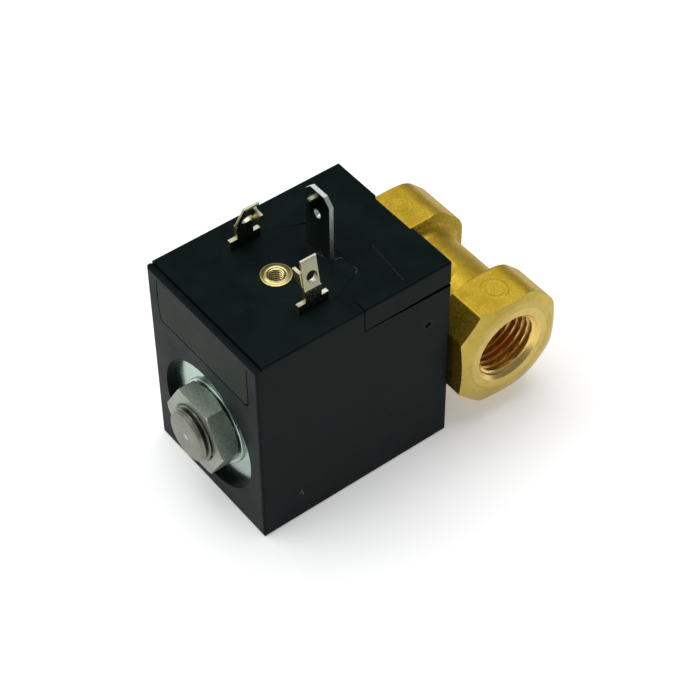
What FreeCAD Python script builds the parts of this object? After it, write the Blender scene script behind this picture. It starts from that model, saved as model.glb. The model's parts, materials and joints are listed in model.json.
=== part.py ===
"""Two-way, direct-acting solenoid valve with an encapsulated 30 mm coil.

Frame: millimetres, +Z up, +Y from the coil nut towards the brass body, +X along the ports.
The tube axis and the port axis meet at X = 0 at one height.  The part stands on the coil's
lower face (Z = 0), and Y = 0 is halfway between the stud's end and the body's rear flat.
Places along the tube are given as a depth behind the coil's front face.
"""
import FreeCAD, Part
import math
import os

V = FreeCAD.Vector

# ---- driving dimensions -------------------------------------------------------------------
COIL_WIDTH = 30.0
COIL_LENGTH = 39.0
COIL_HEIGHT = 41.0
AXIS_HEIGHT = 15.2
STUD_REACH = 4.5
BODY_SETBACK = 11.5
BODY_FRONT = 10.4
BODY_REAR = 10.1
BODY_HALF_HEIGHT = 10.6
PORT_REACH = 17.6

OVERALL_LENGTH = STUD_REACH + COIL_LENGTH + BODY_SETBACK + BODY_REAR
COIL_FRONT = STUD_REACH - OVERALL_LENGTH / 2
PORT_DEPTH = COIL_LENGTH + BODY_SETBACK

# coil moulding
EDGE_ROUND = 0.45
LEDGE_DEPTH = 1.2
LEDGE_DROP = 0.55
LEDGE_GROOVE = 0.25
WINDOW_R = 12.0
WINDOW_DEPTH = 1.7
SEAM = 0.2
REAR_NOTCH_HALF = 5.0
REAR_NOTCH_DEPTH = 0.7
REAR_NOTCH_DROP = 4.0
PANEL_HALF = 12.2
PANEL_LOW = 30.5
PANEL_THICK = 2.0
PANEL_BEVEL = 3.0
CARRIER_THICK = 3.0
CAP_THICK = 4.7
CAP_FRONT_RIGHT = 21.2
CAP_FRONT_LEFT = 29.6
CAP_GAP_FRONT = 0.2
CAP_GAP_REAR = 0.75

# magnetic circuit
PLATE_THICK = 1.8
YOKE_HALF = 13.0
YOKE_LOW = 1.0
YOKE_HIGH = 28.2
YOKE_BEND = 2.2
SLEEVE_LENGTH = 10.0
SLEEVE_R = 6.4
COIL_BORE_R = 5.08
FLANGE_R = 11.9
FLANGE_THICK = 1.2
WINDING_R = 11.4
SPOOL_R = 7.6
GASKET_THICK = 0.9
GASKET_R = 7.6

# armature tube and plunger
TUBE_R = 5.0
TUBE_BORE_R = 4.5
STUD_R = 5.0
STUD_LENGTH = 7.5
STUD_NOSE = 0.55
POLE_DEPTH = 17.0
SHADE_OUTER_R = 3.7
SHADE_INNER_R = 3.0
SHADE_DEPTH = 1.5
PLUNGER_R = 4.42
PLUNGER_FRONT = 19.2
PLUNGER_REAR = 46.5
SPRING_BORE_R = 2.5
SPRING_BORE = 12.0
SEAL_R = 2.8
SEAL_THICK = 2.2
SPRING_MEAN_R = 1.9
SPRING_WIRE_R = 0.25
SPRING_TURNS = 7
COLLAR_FRONT = 38.3
COLLAR_REAR = 40.0
COLLAR_FLATS = 17.0
COLLAR_THREAD_R = 6.9
COLLAR_THREAD_REAR = 44.0
TUBE_FLANGE_R = 6.6
TUBE_FLANGE_THICK = 0.8
ORING_R = 5.9
ORING_WIRE_R = 0.6

# fastening
NUT_FLATS = 14.0
NUT_FRONT = -2.8
NUT_THICK = 3.9
NUT_BORE_R = 5.06
WASHER_R = 7.9
WASHER_THICK = 0.5
WASHER_BORE_R = 5.08
FACE_GAP = 0.02

# brass body
INLET_INNER = 7.0
OUTLET_INNER = 8.4
TOP_FRONT = 6.2
TOP_REAR = 4.9
BOTTOM_FRONT = 5.5
BOTTOM_REAR = 5.3
WAIST_R = 8.0
WAIST_FILLET = 1.6
NECK_R = 8.8
FACE_R = 9.5
FACE_CONE = 1.0
FACE_CONE_SLOPE = 3.0
BACK_R = 10.3
BACK_CONE = 1.0
BACK_CONE_SLOPE = 2.0
BOSS_EDGE = 0.55
CORNER_SHARP = 0.6
CORNER_MEDIUM = 2.0
CORNER_SOFT = 4.5
PORT_THREAD_R = 6.58
PORT_MOUTH_R = 6.85
PORT_BOTTOM = 8.0
CHAMBER_R = 5.2
CHAMBER_FLOOR = 48.2
SEAT_TIP = 46.55
SEAT_R = 2.2
ORIFICE_R = 1.3
PASSAGE_R = 2.2
INLET_PASSAGE_R = 1.6

# electrical terminals
BLADE_THICK = 0.8
POWER_X = 9.1
POWER_FRONT = 12.3
POWER_WIDTH = 5.9
POWER_SHOULDER = 1.9
POWER_INSET = 1.35
POWER_BEND = 4.35
POWER_TIP_WIDTH = 3.05
POWER_HEIGHT = 9.3
POWER_BEVEL = 0.22
POWER_LEAN_LEFT = 2.0
POWER_LEAN_RIGHT = 1.4
POWER_DRIFT = 0.35
POWER_HOLE_R = 1.04
POWER_HOLE_LEFT = 5.7
POWER_HOLE_RIGHT = 6.3
FOOT_LENGTH = 1.5
TAB_LENGTH = 1.5
TAB_THICK = 0.6
TAB_LOW = 4.9
TAB_HIGH = 7.3
TAB_SLOPE = 0.9
TERMINAL_FOOT = 33.0
GATE_AT_DEPTH = 34.2
GATE_AT_HEIGHT = 29.2
GATE_DEPTH = 0.25
EARTH_DEPTH = 23.7
EARTH_WIDTH = 6.3
EARTH_HEIGHT = 13.1
EARTH_CHAMFER = 1.4
EARTH_HOLE_R = 0.85
EARTH_HOLE_HEIGHT = 8.4
EARTH_STRAP = 30.2
INSERT_DEPTH = 14.9
INSERT_FLANGE_R = 2.7
INSERT_RING_R = 1.95
INSERT_BODY_R = 2.2
INSERT_THREAD_R = 1.5
INSERT_LENGTH = 6.0
INSERT_PROUD = 0.15
LEAD_R = 0.3


# ---- helpers ------------------------------------------------------------------------------
def along(depth):
    """Y of a plane that lies this deep behind the coil's front face."""
    return COIL_FRONT + depth


def rod(radius, front, rear):
    """Cylinder on the tube axis between two depths."""
    return Part.makeCylinder(radius, rear - front, V(0, along(front), AXIS_HEIGHT), V(0, 1, 0))


def ring(outer, inner, front, rear):
    """Tube on the tube axis between two depths."""
    return rod(outer, front, rear).cut(rod(inner, front, rear))


def turned(profile):
    """Solid of revolution about the tube axis from (radius, depth) points."""
    points = [V(radius, along(depth), AXIS_HEIGHT) for radius, depth in profile]
    face = Part.Face(Part.makePolygon(points + points[:1]))
    return face.revolve(V(0, 0, AXIS_HEIGHT), V(0, 1, 0), 360)


def box(x0, x1, front, rear, z0, z1):
    """Box between two X values, two depths and two heights."""
    return Part.makeBox(x1 - x0, rear - front, z1 - z0, V(x0, along(front), z0))


def prism(points, direction):
    """Straight prism from a closed polygon."""
    return Part.Face(Part.makePolygon(points + points[:1])).extrude(direction)


def rounded_wire(points, radii):
    """Closed wire through the points, each corner rounded by its own tangent arc."""
    count = len(points)
    starts = []
    ends = []
    edges = []
    for index, corner in enumerate(points):
        before = (points[index - 1] - corner).normalize()
        after = (points[(index + 1) % count] - corner).normalize()
        half = before.getAngle(after) / 2
        setback = radii[index] / math.tan(half)
        middle = (before + after).normalize()
        top = corner + middle * (radii[index] / math.sin(half) - radii[index])
        starts.append(corner + before * setback)
        ends.append(corner + after * setback)
        edges.append(Part.Arc(starts[-1], top, ends[-1]).toShape())
    for index in range(count):
        edges.append(Part.LineSegment(ends[index], starts[(index + 1) % count]).toShape())
    return Part.Wire(Part.__sortEdges__(edges))


def hexagon(flats, front, rear):
    """Hexagonal prism on the tube axis with two corners on the X direction."""
    radius = flats / 2 / math.cos(math.pi / 6)
    points = []
    for step in range(6):
        angle = step * math.pi / 3
        points.append(V(radius * math.cos(angle), along(front), AXIS_HEIGHT + radius * math.sin(angle)))
    return prism(points, V(0, rear - front, 0))


# ---- brass body ---------------------------------------------------------------------------
def boss_inner(side):
    """Distance from the tube axis to a boss's inner face; the inlet boss starts nearer."""
    return OUTLET_INNER if side > 0 else INLET_INNER


def boss(side):
    """One eight-sided port boss with crisp front corners; the rear corners are forged soft."""
    inner = boss_inner(side)
    high = BODY_HALF_HEIGHT
    front_rise = high - BODY_FRONT
    rear_rise = high - BODY_REAR
    outline = [(-TOP_FRONT, high), (TOP_REAR, high), (BODY_REAR, TOP_REAR + rear_rise),
               (BODY_REAR, -BOTTOM_REAR - rear_rise), (BOTTOM_REAR, -high), (-BOTTOM_FRONT, -high),
               (-BODY_FRONT, -BOTTOM_FRONT - front_rise), (-BODY_FRONT, TOP_FRONT + front_rise)]
    radii = [CORNER_SHARP, CORNER_SOFT, CORNER_SOFT, CORNER_SOFT, CORNER_SOFT,
             CORNER_MEDIUM, CORNER_SHARP, CORNER_SHARP]
    points = [V(side * inner, along(PORT_DEPTH) + y, AXIS_HEIGHT + z) for y, z in outline]
    block = Part.Face(rounded_wire(points, radii)).extrude(V(side * (PORT_REACH - inner), 0, 0))
    inner_edges = [edge for edge in block.Edges
                   if abs(edge.BoundBox.XMin - side * inner) < 1e-6 and edge.BoundBox.XLength < 1e-6]
    block = block.makeFillet(BOSS_EDGE, inner_edges)
    face_r = FACE_R + FACE_CONE * FACE_CONE_SLOPE
    back_r = BACK_R + BACK_CONE * BACK_CONE_SLOPE
    envelope = [(inner, 0), (inner, BACK_R), (inner + BACK_CONE, back_r),
                (PORT_REACH - FACE_CONE, face_r), (PORT_REACH, FACE_R), (PORT_REACH, 0)]
    return block.common(port_turned(side, envelope))


def port_turned(side, profile):
    """Solid of revolution about the port axis from (reach along X, radius) points."""
    points = [V(side * reach, along(PORT_DEPTH), AXIS_HEIGHT + radius) for reach, radius in profile]
    face = Part.Face(Part.makePolygon(points + points[:1]))
    return face.revolve(V(0, along(PORT_DEPTH), AXIS_HEIGHT), V(1, 0, 0), 360)


def waist():
    """Round barrel between the bosses, flared where it meets them."""
    y = along(PORT_DEPTH)
    top = AXIS_HEIGHT + WAIST_R
    bow = WAIST_FILLET * (1 - math.sqrt(0.5))
    edges = []
    starts = []
    feet = []
    for side in (-1, 1):
        inner = boss_inner(side)
        start = V(side * (inner - WAIST_FILLET), y, top)
        middle = V(side * (inner - bow), y, top + bow)
        end = V(side * inner, y, top + WAIST_FILLET)
        corner = V(side * (inner + 1), y, top + WAIST_FILLET)
        foot = V(side * (inner + 1), y, AXIS_HEIGHT)
        edges.append(Part.Arc(start, middle, end).toShape())
        edges.append(Part.LineSegment(end, corner).toShape())
        edges.append(Part.LineSegment(corner, foot).toShape())
        starts.append(start)
        feet.append(foot)
    edges.append(Part.LineSegment(feet[0], feet[1]).toShape())
    edges.append(Part.LineSegment(starts[0], starts[1]).toShape())
    face = Part.Face(Part.Wire(Part.__sortEdges__(edges)))
    return face.revolve(V(0, y, AXIS_HEIGHT), V(1, 0, 0), 360)


def inlet_passage():
    """Slanted drilling from the inlet port's bottom to the chamber floor."""
    start = V(-PORT_BOTTOM - 0.6, along(PORT_DEPTH + 0.6), AXIS_HEIGHT)
    end = V(-3.4, along(CHAMBER_FLOOR - 0.6), AXIS_HEIGHT)
    run = end - start
    return Part.makeCylinder(INLET_PASSAGE_R, run.Length, start, run)


def valve_body():
    """Forged brass body: two port bosses, a waist, and a neck that holds the armature tube."""
    solid = waist().fuse([boss(-1), boss(1), rod(NECK_R, COLLAR_REAR, PORT_DEPTH)])
    port_cut = [(PORT_BOTTOM - 1.5, 0), (PORT_BOTTOM, PORT_THREAD_R - 1.5), (PORT_BOTTOM, PORT_THREAD_R),
                (PORT_REACH - (PORT_MOUTH_R - PORT_THREAD_R), PORT_THREAD_R), (PORT_REACH, PORT_MOUTH_R),
                (PORT_REACH, 0)]
    thread_end = COLLAR_THREAD_REAR + TUBE_FLANGE_THICK + 2 * ORING_WIRE_R
    cavity = turned([(0, COLLAR_REAR), (COLLAR_THREAD_R, COLLAR_REAR), (COLLAR_THREAD_R, thread_end),
                     (CHAMBER_R, thread_end), (CHAMBER_R, CHAMBER_FLOOR), (0, CHAMBER_FLOOR)])
    seat = turned([(0, SEAT_TIP), (SEAT_R - 0.6, SEAT_TIP), (SEAT_R, SEAT_TIP + 0.8),
                   (SEAT_R, CHAMBER_FLOOR), (0, CHAMBER_FLOOR)])
    outlet = Part.makeCylinder(PASSAGE_R, PORT_BOTTOM, V(0, along(PORT_DEPTH), AXIS_HEIGHT), V(1, 0, 0))
    solid = solid.cut([port_turned(-1, port_cut), port_turned(1, port_cut), cavity.cut(seat)])
    solid = solid.cut([rod(ORIFICE_R, SEAT_TIP - 0.1, PORT_DEPTH), outlet, inlet_passage()])
    return solid.removeSplitter()


# ---- armature tube and plunger ------------------------------------------------------------
def fixed_core():
    """Pole piece that closes the tube, with the stud for the coil nut on its outer end."""
    nose_r = STUD_R - STUD_NOSE
    stud_rear = STUD_LENGTH - STUD_REACH
    core = turned([(0, -STUD_REACH), (nose_r, -STUD_REACH), (STUD_R, -STUD_REACH + STUD_NOSE),
                   (STUD_R, stud_rear), (TUBE_BORE_R, stud_rear), (TUBE_BORE_R, POLE_DEPTH),
                   (0, POLE_DEPTH)])
    return core.cut(shading_ring())


def shading_ring():
    """Copper ring set into the pole face."""
    return ring(SHADE_OUTER_R, SHADE_INNER_R, POLE_DEPTH - SHADE_DEPTH, POLE_DEPTH)


def guide_tube():
    """Thin stainless tube round the core and the plunger, with a sealing flange."""
    rear = COLLAR_THREAD_REAR + TUBE_FLANGE_THICK
    barrel = ring(TUBE_R, TUBE_BORE_R, STUD_LENGTH - STUD_REACH, rear)
    return barrel.fuse(ring(TUBE_FLANGE_R, TUBE_BORE_R, COLLAR_THREAD_REAR, rear)).removeSplitter()


def tube_collar():
    """Hexagonal collar that screws into the neck and clamps the tube's flange."""
    grip = hexagon(COLLAR_FLATS, COLLAR_FRONT, COLLAR_REAR)
    corner_r = COLLAR_FLATS / 2 / math.cos(math.pi / 6)
    rise = corner_r - COLLAR_FLATS / 2
    dome = turned([(0, COLLAR_FRONT), (COLLAR_FLATS / 2, COLLAR_FRONT),
                   (corner_r + 0.1, COLLAR_FRONT + rise * 0.55), (corner_r + 0.1, COLLAR_REAR),
                   (0, COLLAR_REAR)])
    collar = grip.common(dome).fuse(rod(COLLAR_THREAD_R, COLLAR_REAR, COLLAR_THREAD_REAR))
    return collar.cut(rod(TUBE_R, COLLAR_FRONT - 1, COLLAR_THREAD_REAR + 1))


def tube_o_ring():
    """Seal between the tube's flange and the step in the neck."""
    depth = COLLAR_THREAD_REAR + TUBE_FLANGE_THICK + ORING_WIRE_R
    return Part.makeTorus(ORING_R, ORING_WIRE_R, V(0, along(depth), AXIS_HEIGHT), V(0, 1, 0))


def plunger():
    """Moving core with a spring bore in front and a seal pocket behind."""
    blank = turned([(0, PLUNGER_FRONT), (PLUNGER_R - 0.3, PLUNGER_FRONT), (PLUNGER_R, PLUNGER_FRONT + 0.3),
                    (PLUNGER_R, PLUNGER_REAR - 1.6), (SEAL_R + 0.6, PLUNGER_REAR), (0, PLUNGER_REAR)])
    spring_bore = rod(SPRING_BORE_R, PLUNGER_FRONT, PLUNGER_FRONT + SPRING_BORE)
    top = AXIS_HEIGHT + PLUNGER_R
    flute = box(-0.5, 0.5, PLUNGER_FRONT, PLUNGER_REAR, top - 0.8, top)
    flutes = []
    for step in range(2):
        flutes.append(flute.rotated(V(0, 0, AXIS_HEIGHT), V(0, 1, 0), step * 180))
    return blank.cut([spring_bore, plunger_seal()] + flutes)


def plunger_seal():
    """Elastomer disc that closes on the seat."""
    return rod(SEAL_R, PLUNGER_REAR - SEAL_THICK, PLUNGER_REAR)


def plunger_spring():
    """Return spring between the pole face and the bottom of the plunger's bore."""
    clearance = 0.05
    front = POLE_DEPTH + SPRING_WIRE_R + clearance
    rear = PLUNGER_FRONT + SPRING_BORE - SPRING_WIRE_R - clearance
    height = rear - front
    helix = Part.makeHelix(height / SPRING_TURNS, height, SPRING_MEAN_R)
    section = Part.Wire(Part.makeCircle(SPRING_WIRE_R, V(SPRING_MEAN_R, 0, 0), V(0, 1, 0)))
    coil = Part.Wire(helix).makePipeShell([section], True, True)
    coil.rotate(V(0, 0, 0), V(1, 0, 0), -90)
    coil.translate(V(0, along(front), AXIS_HEIGHT))
    return coil


# ---- coil ---------------------------------------------------------------------------------
def yoke_frame():
    """U-shaped steel bracket: two pole plates joined by a web below the winding."""
    front = WINDOW_DEPTH
    rear = COIL_LENGTH - WINDOW_DEPTH
    outer = box(-YOKE_HALF, YOKE_HALF, front, rear, YOKE_LOW, YOKE_HIGH)
    outer_bends = [edge for edge in outer.Edges
                   if edge.BoundBox.XLength > YOKE_HALF and edge.BoundBox.ZMax < YOKE_LOW + 1e-3]
    outer = outer.makeFillet(YOKE_BEND, outer_bends)
    inner = box(-YOKE_HALF - 1, YOKE_HALF + 1, front + PLATE_THICK, rear - PLATE_THICK,
                YOKE_LOW + PLATE_THICK, YOKE_HIGH + 1)
    inner_bends = [edge for edge in inner.Edges
                   if edge.BoundBox.XLength > YOKE_HALF
                   and edge.BoundBox.ZMax < YOKE_LOW + PLATE_THICK + 1e-3]
    inner = inner.makeFillet(YOKE_BEND - PLATE_THICK, inner_bends)
    return outer.cut([inner, rod(SLEEVE_R, 0, COIL_LENGTH)])


def flux_sleeve_front():
    """Steel bush pressed into the front pole plate."""
    return ring(SLEEVE_R, COIL_BORE_R, WINDOW_DEPTH, WINDOW_DEPTH + SLEEVE_LENGTH)


def flux_sleeve_rear():
    """Steel bush pressed into the rear pole plate."""
    rear = COIL_LENGTH - WINDOW_DEPTH
    return ring(SLEEVE_R, COIL_BORE_R, rear - SLEEVE_LENGTH, rear)


def bobbin():
    """Spool for the winding, bored to take the two flux sleeves."""
    front = WINDOW_DEPTH + PLATE_THICK
    rear = COIL_LENGTH - front
    sleeve_end = WINDOW_DEPTH + SLEEVE_LENGTH
    bore_r = COIL_BORE_R + 0.1
    return turned([(bore_r, sleeve_end), (SLEEVE_R, sleeve_end), (SLEEVE_R, front), (FLANGE_R, front),
                   (FLANGE_R, front + FLANGE_THICK), (SPOOL_R, front + FLANGE_THICK),
                   (SPOOL_R, rear - FLANGE_THICK), (FLANGE_R, rear - FLANGE_THICK), (FLANGE_R, rear),
                   (SLEEVE_R, rear), (SLEEVE_R, COIL_LENGTH - sleeve_end),
                   (bore_r, COIL_LENGTH - sleeve_end)])


def winding():
    """Copper winding, taken as one solid pack."""
    front = WINDOW_DEPTH + PLATE_THICK + FLANGE_THICK
    return ring(WINDING_R, SPOOL_R, front, COIL_LENGTH - front)


def winding_lead(side):
    """Wire from a power terminal's foot down to the winding."""
    x = side * (POWER_X - 1.1)
    depth = POWER_FRONT + POWER_WIDTH / 2
    start = V(x, along(depth), AXIS_HEIGHT)
    drop = Part.makeCylinder(LEAD_R, TERMINAL_FOOT - AXIS_HEIGHT, start, V(0, 0, 1))
    return drop.cut(rod(WINDING_R, 0, COIL_LENGTH))


def bevelled_tip(front, rear, tip_front):
    """Blade above its bend, before it is leant over, with a lead-in bevel round its free edges."""
    half = BLADE_THICK / 2
    low = COIL_HEIGHT + POWER_BEND
    high = COIL_HEIGHT + POWER_HEIGHT
    tip_rear = tip_front + POWER_TIP_WIDTH
    outline = [(front, low), (tip_front, high), (tip_rear, high), (rear, low)]
    blade = prism([V(-half, along(depth), z) for depth, z in outline], V(BLADE_THICK, 0, 0))
    free = []
    for edge in blade.Edges:
        span = edge.BoundBox
        if span.XLength < 0.01 and (span.ZLength > 0.01 or span.ZMin > low + 0.01):
            free.append(edge)
    return blade.makeChamfer(POWER_BEVEL, free)


def power_terminal(side):
    """Flat blade with shoulders, a leaning tip with a hole, and a tab folded from one edge."""
    top = COIL_HEIGHT
    half = BLADE_THICK / 2
    rear = POWER_FRONT + POWER_WIDTH
    neck_front = POWER_FRONT + POWER_INSET
    neck_rear = rear - POWER_INSET
    drift = side * POWER_DRIFT
    foot = box(-FOOT_LENGTH, half, neck_front, neck_rear, TERMINAL_FOOT, TERMINAL_FOOT + BLADE_THICK)
    upright = box(-half, half, neck_front, neck_rear, TERMINAL_FOOT, top + POWER_BEND)
    base = box(-half, half, POWER_FRONT, rear, top - 1.0, top + POWER_SHOULDER)
    tip_front = (neck_front + neck_rear - POWER_TIP_WIDTH) / 2 + drift
    tip = bevelled_tip(neck_front, neck_rear, tip_front)
    tab_outline = [(-half - TAB_LENGTH, TAB_HIGH), (0, TAB_HIGH), (0, TAB_LOW), (-half - 0.3, TAB_LOW),
                   (-half - TAB_LENGTH, TAB_LOW + TAB_SLOPE)]
    share = (TAB_LOW - POWER_BEND) / (POWER_HEIGHT - POWER_BEND)
    tab_front = neck_front + share * (tip_front - neck_front) - TAB_THICK / 3
    tab = prism([V(x, along(tab_front), top + z) for x, z in tab_outline], V(0, TAB_THICK, 0))
    hole_height = POWER_HOLE_RIGHT if side > 0 else POWER_HOLE_LEFT
    hole_depth = (neck_front + neck_rear) / 2 + drift / 2
    hole = Part.makeCylinder(POWER_HOLE_R, 4, V(-2, along(hole_depth), top + hole_height), V(1, 0, 0))
    tip = tip.fuse(tab).cut(hole)
    reach = POWER_LEAN_RIGHT if side > 0 else POWER_LEAN_LEFT
    lean = FreeCAD.Matrix()
    lean.A13 = -reach / (POWER_HEIGHT - POWER_BEND)
    lean.A14 = -lean.A13 * (top + POWER_BEND)
    tip = tip.transformGeometry(lean)
    terminal = foot.fuse([upright, base, tip]).removeSplitter()
    terminal.translate(V(POWER_X, 0, 0))
    if side < 0:
        middle = along(POWER_FRONT + POWER_WIDTH / 2)
        terminal.rotate(V(0, middle, 0), V(0, 0, 1), 180)
    return terminal


def earth_terminal():
    """Wide flat blade, with a strap below it that reaches the rear pole plate."""
    half = EARTH_WIDTH / 2
    top = COIL_HEIGHT + EARTH_HEIGHT
    corner = top - EARTH_CHAMFER
    front = along(EARTH_DEPTH - BLADE_THICK / 2)
    points = [V(-half, front, EARTH_STRAP), V(-half, front, corner), V(-half + EARTH_CHAMFER, front, top),
              V(half - EARTH_CHAMFER, front, top), V(half, front, corner), V(half, front, EARTH_STRAP)]
    blade = prism(points, V(0, BLADE_THICK, 0))
    plate_rear = COIL_LENGTH - WINDOW_DEPTH
    strap = box(-half, half, EARTH_DEPTH, plate_rear - 0.6, EARTH_STRAP, EARTH_STRAP + BLADE_THICK)
    heel = box(-half, half, plate_rear - 0.6 - BLADE_THICK, plate_rear - 0.6, YOKE_HIGH, EARTH_STRAP + 0.4)
    hole = Part.makeCylinder(EARTH_HOLE_R, 4, V(0, front - 1, COIL_HEIGHT + EARTH_HOLE_HEIGHT), V(0, 1, 0))
    return blade.fuse([strap, heel]).cut(hole).removeSplitter()


def threaded_insert():
    """Flanged brass insert for the connector's centre screw."""
    low = COIL_HEIGHT - INSERT_LENGTH
    flange_low = COIL_HEIGHT - 0.8
    top = COIL_HEIGHT + INSERT_PROUD
    step = top - 0.1
    profile = [(INSERT_THREAD_R, low), (INSERT_BODY_R, low), (INSERT_BODY_R, flange_low),
               (INSERT_FLANGE_R, flange_low), (INSERT_FLANGE_R, step - 0.1), (INSERT_FLANGE_R - 0.1, step),
               (INSERT_RING_R, step), (INSERT_RING_R - 0.1, top), (INSERT_THREAD_R + 0.15, top),
               (INSERT_THREAD_R, top - 0.15)]
    y = along(INSERT_DEPTH)
    face = Part.Face(Part.makePolygon([V(r, y, z) for r, z in profile + profile[:1]]))
    return face.revolve(V(0, y, 0), V(0, 0, 1), 360)


def carrier_prism(seam):
    """Terminal carrier's block; a seam widens it along its two rear edges."""
    outline = [(-9.9, 18.6), (-9.9, 11.4), (-6.5, 9.2), (6.5, 9.2), (9.9, 11.4), (9.9, 18.6),
               (7.4 + seam, 25.7 + seam), (-6.3 - seam, 25.7 + seam)]
    low = COIL_HEIGHT - CARRIER_THICK
    radii = [0.6, 0.6, 0.6, 0.6, 0.6, 0.6, 2.6, 0.6]
    wire = rounded_wire([V(x, along(depth), low) for x, depth in outline], radii)
    return Part.Face(wire).extrude(V(0, 0, CARRIER_THICK))


def terminal_carrier():
    """Moulded block that holds the terminals and the insert, flush with the coil's top."""
    metal = [power_terminal(-1), power_terminal(1), earth_terminal(), insert_slug()]
    return carrier_prism(0).cut(metal)


def insert_slug():
    """Space that the threaded insert takes up, its bore and the room below it included."""
    y = along(INSERT_DEPTH)
    low = COIL_HEIGHT - INSERT_LENGTH
    bore = Part.makeCylinder(INSERT_THREAD_R, INSERT_LENGTH + 1, V(0, y, low), V(0, 0, 1))
    return threaded_insert().fuse(bore).removeSplitter()


def panel_prism(seam):
    """Front panel's block; a seam widens it along its sides and its lower edge."""
    half = PANEL_HALF + seam
    low = PANEL_LOW - seam
    high = COIL_HEIGHT - LEDGE_DROP - 1.3
    points = [V(-half, COIL_FRONT, high), V(-half, COIL_FRONT, low + PANEL_BEVEL),
              V(-half + 0.4, COIL_FRONT, low), V(half - 0.7, COIL_FRONT, low),
              V(half, COIL_FRONT, low + 0.6), V(half, COIL_FRONT, high)]
    return prism(points, V(0, PANEL_THICK, 0))


def cap_prism(low_front, low_rear, seam):
    """Rear top cap's block between the top face and a floor that slopes from front to rear."""
    width = COIL_WIDTH / 2
    front = CAP_FRONT_RIGHT - seam
    rear = along(COIL_LENGTH)
    side = [V(-width, along(front), low_front), V(-width, rear, low_rear), V(-width, rear, COIL_HEIGHT),
            V(-width, along(front), COIL_HEIGHT)]
    slab = prism(side, V(COIL_WIDTH, 0, 0))
    plan = [(width, front), (width - 2.6, front), (width - 3.4, 27.4), (-width + 2.6, CAP_FRONT_LEFT),
            (-width, CAP_FRONT_LEFT), (-width, COIL_LENGTH), (width, COIL_LENGTH)]
    low = COIL_HEIGHT - 2 * CAP_THICK
    return slab.common(prism([V(x, along(depth), low) for x, depth in plan], V(0, 0, 2 * CAP_THICK)))


def block_envelope():
    """Coil's outer block with rounded edges, the ledge along its front top edge and the rear notch."""
    half = COIL_WIDTH / 2
    rear = COIL_LENGTH
    ledge_top = COIL_HEIGHT - LEDGE_DROP
    plan = [V(-half, along(0), 0), V(half, along(0), 0), V(half, along(rear), 0), V(-half, along(rear), 0)]
    side = [V(-half, along(0), 0), V(-half, along(rear), 0), V(-half, along(rear), COIL_HEIGHT),
            V(-half, along(0), COIL_HEIGHT)]
    face = [V(-half, along(0), 0), V(half, along(0), 0), V(half, along(0), COIL_HEIGHT),
            V(-half, along(0), COIL_HEIGHT)]
    four = [EDGE_ROUND] * 4
    block = Part.Face(rounded_wire(plan, four)).extrude(V(0, 0, COIL_HEIGHT))
    block = block.common(Part.Face(rounded_wire(side, four)).extrude(V(COIL_WIDTH, 0, 0)))
    block = block.common(Part.Face(rounded_wire(face, four)).extrude(V(0, COIL_LENGTH, 0)))
    step = box(-half - 1, half + 1, -1, LEDGE_DEPTH, ledge_top, COIL_HEIGHT + 1)
    round_low = ledge_top - EDGE_ROUND
    corner = [V(-half - 1, along(-1), round_low), V(-half - 1, along(0), round_low)]
    arc_middle = V(-half - 1, along(EDGE_ROUND * (1 - math.sqrt(0.5))),
                   ledge_top - EDGE_ROUND * (1 - math.sqrt(0.5)))
    arc_end = V(-half - 1, along(EDGE_ROUND), ledge_top)
    outer = V(-half - 1, along(-1), ledge_top)
    edges = [Part.LineSegment(corner[0], corner[1]).toShape(),
             Part.Arc(corner[1], arc_middle, arc_end).toShape(),
             Part.LineSegment(arc_end, outer).toShape(), Part.LineSegment(outer, corner[0]).toShape()]
    rounding = Part.Face(Part.Wire(edges)).extrude(V(COIL_WIDTH + 2, 0, 0))
    groove = box(-half - 1, half + 1, LEDGE_DEPTH - LEDGE_GROOVE, LEDGE_DEPTH, ledge_top - LEDGE_GROOVE,
                 COIL_HEIGHT)
    notch = box(-REAR_NOTCH_HALF, REAR_NOTCH_HALF, rear - REAR_NOTCH_DEPTH, rear + 1,
                COIL_HEIGHT - REAR_NOTCH_DROP, COIL_HEIGHT + 1)
    return block.cut([step, rounding, groove, notch])


def cap_floor(depth_gap):
    """Heights of the cap's floor at its front and rear, lowered by the two gaps given."""
    base = COIL_HEIGHT - CAP_THICK
    return base - depth_gap[0], base - depth_gap[1]


def front_panel():
    """Flat panel set flush in the coil's front face."""
    return panel_prism(0)


def rear_top_cap():
    """Cap over the rear of the coil's top, with the tapering gap under it."""
    low_front, low_rear = cap_floor((0, 0))
    return block_envelope().common(cap_prism(low_front, low_rear, 0))


def coil_gasket():
    """Rubber ring between the rear pole plate and the tube's collar."""
    front = COIL_LENGTH - WINDOW_DEPTH
    return ring(GASKET_R, COIL_BORE_R + FACE_GAP, front, front + GASKET_THICK)


def gate_pit():
    """Ragged shallow pit where the moulding gate broke off the coil's side."""
    outline = [(-0.66, 0.02), (-0.42, 0.33), (-0.1, 0.27), (0.14, 0.44), (0.5, 0.36), (0.66, 0.0),
               (0.4, -0.28), (0.1, -0.24), (-0.18, -0.42), (-0.5, -0.3)]
    floor = COIL_WIDTH / 2 - GATE_DEPTH
    points = [V(floor, along(GATE_AT_DEPTH + across), GATE_AT_HEIGHT + up) for across, up in outline]
    return prism(points, V(2 * GATE_DEPTH, 0, 0))


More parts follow.
